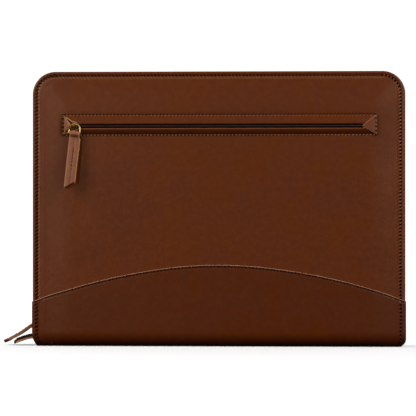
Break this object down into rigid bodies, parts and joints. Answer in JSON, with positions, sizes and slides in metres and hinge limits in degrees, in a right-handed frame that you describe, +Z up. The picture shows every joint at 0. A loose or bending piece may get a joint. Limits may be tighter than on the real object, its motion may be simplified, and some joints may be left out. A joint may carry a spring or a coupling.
{
  "type": "leather document case",
  "caption": "Slim leather document case with a zip round three sides, a curved spine wrap and a zipped slot pocket in front; it holds A4 papers flat.",
  "frame": {"origin": "middle of the flat underside of the spine, on the surface that the case stands on", "axes": "+Z up along the case's height, X along its width, and -Y out of the front that carries the pocket"},
  "size_m": [0.3778, 0.0418, 0.2585],
  "materials": {
    "panel_leather": "smooth brown leather with a soft sheen",
    "wrap_leather": "smooth brown leather with a soft sheen",
    "edging_leather": "smooth brown leather",
    "tab_leather": "smooth brown leather with raw edges",
    "strap_leather": "paler brown leather with raw tan edges",
    "zip_tape": "black woven tape",
    "zip_coil": "black nylon coil",
    "brass": "worn brass"
  },
  "bodies": {
    "root": {"front_panel": "panel_leather", "back_panel": "panel_leather", "spine_wrap": "wrap_leather", "front_edging": "edging_leather", "back_edging": "edging_leather", "zip_tape_front": "zip_tape", "zip_tape_back": "zip_tape", "zip_chain": "zip_coil", "zip_tail_tab": "tab_leather", "pocket_zip_tape": "zip_tape", "pocket_zip_chain": "zip_coil", "pocket_tab_left": "tab_leather", "pocket_tab_right": "tab_leather", "pocket_slider": "brass", "pocket_pull_ring": "brass", "pocket_pull_strap": "strap_leather", "main_slider": "brass", "main_pull_ring": "brass", "main_pull_strap": "strap_leather"}
  },
  "joints": []
}
